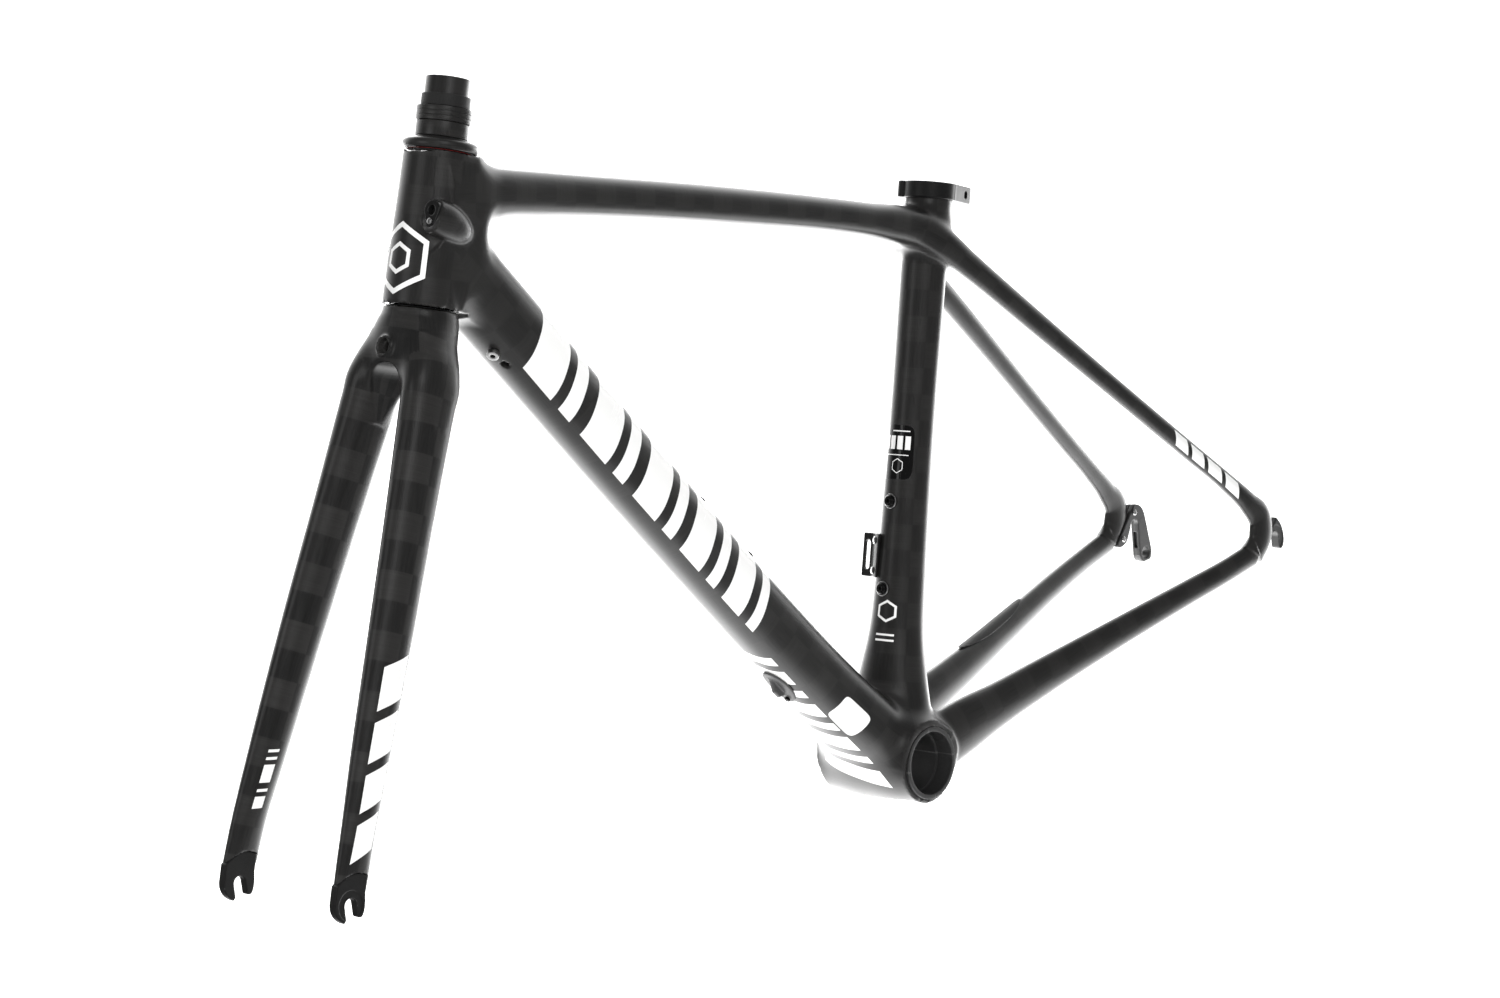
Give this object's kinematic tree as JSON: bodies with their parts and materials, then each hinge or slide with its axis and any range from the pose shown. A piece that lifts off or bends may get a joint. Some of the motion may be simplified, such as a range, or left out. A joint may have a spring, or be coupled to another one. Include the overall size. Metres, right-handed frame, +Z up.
{
  "type": "bicycle frameset",
  "caption": "Carbon road-racing bicycle frame with tapered headset, straight-bladed fork, seat clamp and replaceable derailleur hanger.",
  "frame": {"origin": "on the frame's middle plane, halfway between the front and rear axles and level with the underside of the bottom bracket shell; the bottom bracket's centre is at x 0.082, z 0.028", "axes": "+X points to the rear wheel, +Y to the drive (right) side, +Z up; the bicycle stands level"},
  "size_m": [1.0031, 0.1546, 0.585],
  "materials": {
    "carbon": "satin clear-coated carbon fibre",
    "dark_alloy": "dark bead-blasted",
    "black_anodised": "black anodised",
    "bare_alloy": "satin",
    "black_steel": "black oxide",
    "steel": "ground and polished",
    "gloss_black_plastic": "gloss",
    "matte_black_plastic": "matte",
    "grey_plastic": "matte",
    "red_rubber": "matte"
  },
  "bodies": {
    "frame": {"head_tube": "carbon", "top_tube": "carbon", "down_tube": "carbon", "seat_tube": "carbon", "bottom_bracket_shell": "carbon", "seat_stay_left": "carbon", "seat_stay_right": "carbon", "chain_stay_left": "carbon", "chain_stay_right": "carbon", "rear_dropout_left": "dark_alloy", "rear_dropout_right": "dark_alloy", "derailleur_hanger": "dark_alloy", "seat_clamp_collar": "black_anodised", "front_derailleur_bracket": "black_anodised", "seat_tube_boss_lower": "bare_alloy", "seat_tube_boss_upper": "bare_alloy", "down_tube_boss_lower": "bare_alloy", "down_tube_boss_upper": "bare_alloy", "bracket_rivet_lower": "bare_alloy", "bracket_rivet_upper": "bare_alloy", "down_tube_cable_grommet": "bare_alloy", "seat_tube_bottle_bolt_lower": "black_steel", "seat_tube_bottle_bolt_upper": "black_steel", "down_tube_bottle_bolt_lower": "black_steel", "down_tube_bottle_bolt_upper": "black_steel", "hanger_screw_upper": "black_steel", "hanger_screw_lower": "black_steel", "seat_clamp_bolt": "black_steel", "port_cover_screw": "black_steel", "lower_bearing_outer_race": "steel", "upper_bearing_outer_race": "steel", "cable_port_screw": "steel", "cable_port_insert": "gloss_black_plastic", "chain_stay_guard": "matte_black_plastic", "down_tube_port_cover": "grey_plastic"},
    "fork": {"steerer_tube": "carbon", "crown_race": "black_steel", "lower_bearing_inner_race": "steel", "upper_bearing_inner_race": "steel", "compression_ring": "black_anodised", "headset_top_cover": "black_anodised", "headset_cover_seal": "red_rubber", "spacer_10mm": "carbon", "spacer_3mm_lower": "carbon", "spacer_3mm_middle": "carbon", "spacer_3mm_upper": "carbon", "steerer_guard_band": "matte_black_plastic", "fork_crown": "carbon", "fork_blade_left": "carbon", "fork_blade_right": "carbon", "fork_dropout_left": "dark_alloy", "fork_dropout_right": "dark_alloy"},
    "lower_ball_ring": {"lower_bearing_balls": "steel"},
    "upper_ball_ring": {"upper_bearing_balls": "steel"}
  },
  "joints": [
    {"name": "steering", "type": "hinge", "parent": "frame", "child": "fork", "pos_m": [-0.31438, 0, 0.44045], "axis": [0.3256, 0, 0.9455], "continuous": true},
    {"name": "lower_ball_ring_turn", "type": "hinge", "parent": "frame", "child": "lower_ball_ring", "pos_m": [-0.31438, 0, 0.44045], "axis": [0.3256, 0, 0.9455], "continuous": true},
    {"name": "upper_ball_ring_turn", "type": "hinge", "parent": "frame", "child": "upper_ball_ring", "pos_m": [-0.28351, 0, 0.53008], "axis": [0.3256, 0, 0.9455], "continuous": true}
  ],
  "couplings": [
    {"joint": "lower_ball_ring_turn", "follows": "steering", "ratio": 0.475},
    {"joint": "upper_ball_ring_turn", "follows": "steering", "ratio": 0.473}
  ]
}
